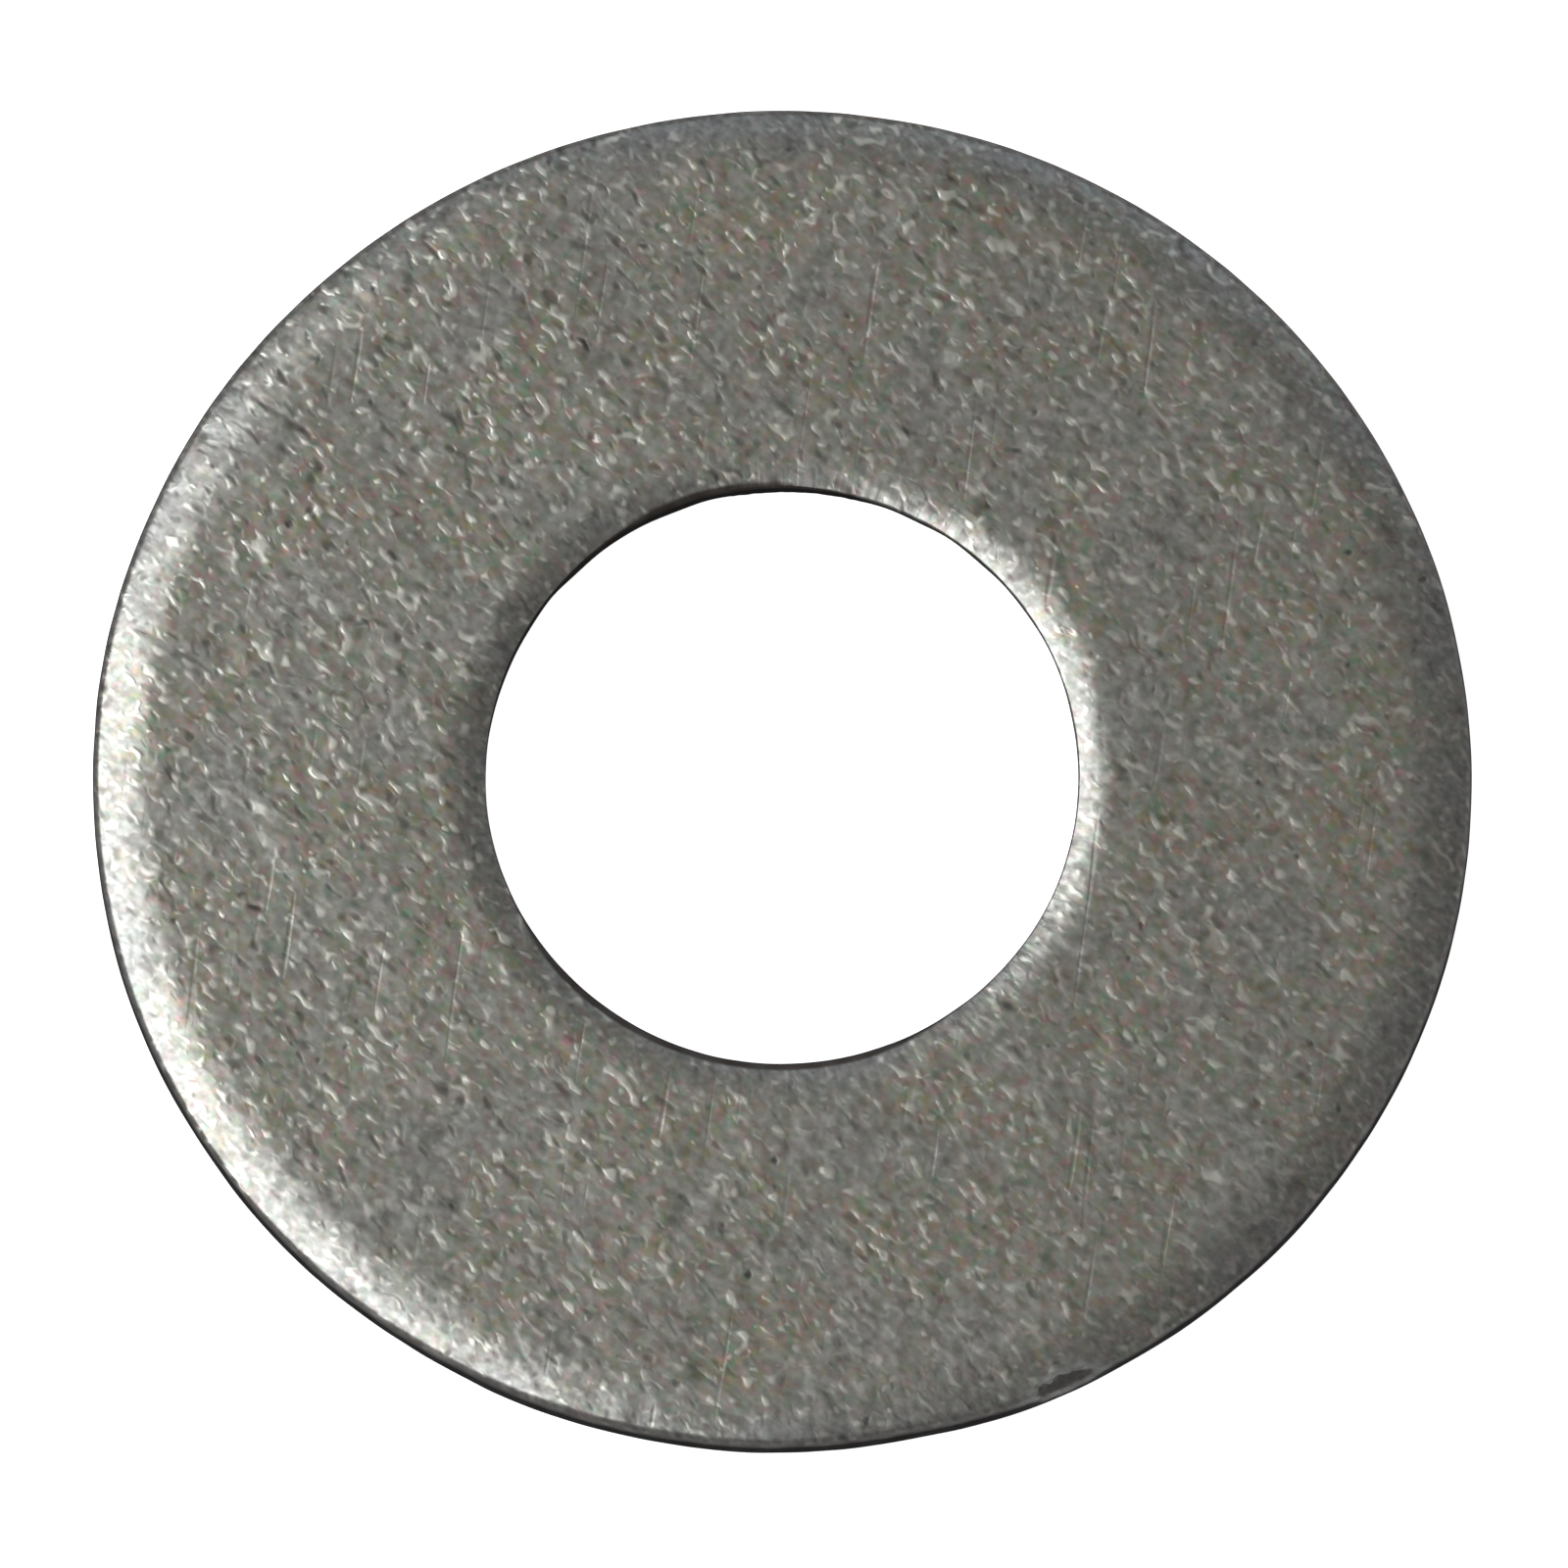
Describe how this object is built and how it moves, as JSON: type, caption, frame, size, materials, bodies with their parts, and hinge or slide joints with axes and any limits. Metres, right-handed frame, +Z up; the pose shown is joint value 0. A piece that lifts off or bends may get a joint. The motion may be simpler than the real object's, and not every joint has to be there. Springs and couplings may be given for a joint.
{
  "type": "flat washer",
  "caption": "Round plain flat washer punched from sheet steel, with a clearance hole, rounded upper edges and flat faces.",
  "frame": {"origin": "centre of the lower flat face, on the axis of the hole", "axes": "+Z up along the hole, out of the face with the rounded edges; X and Y in the plane of the lower face"},
  "size_m": [0.0222, 0.0222, 0.0016],
  "materials": {
    "steel": "dull tumbled steel with fine bright specks and short scratches, brighter where the edges are rounded, dark and rough on the broken part of the walls"
  },
  "bodies": {
    "root": {"washer": "steel"}
  },
  "joints": []
}
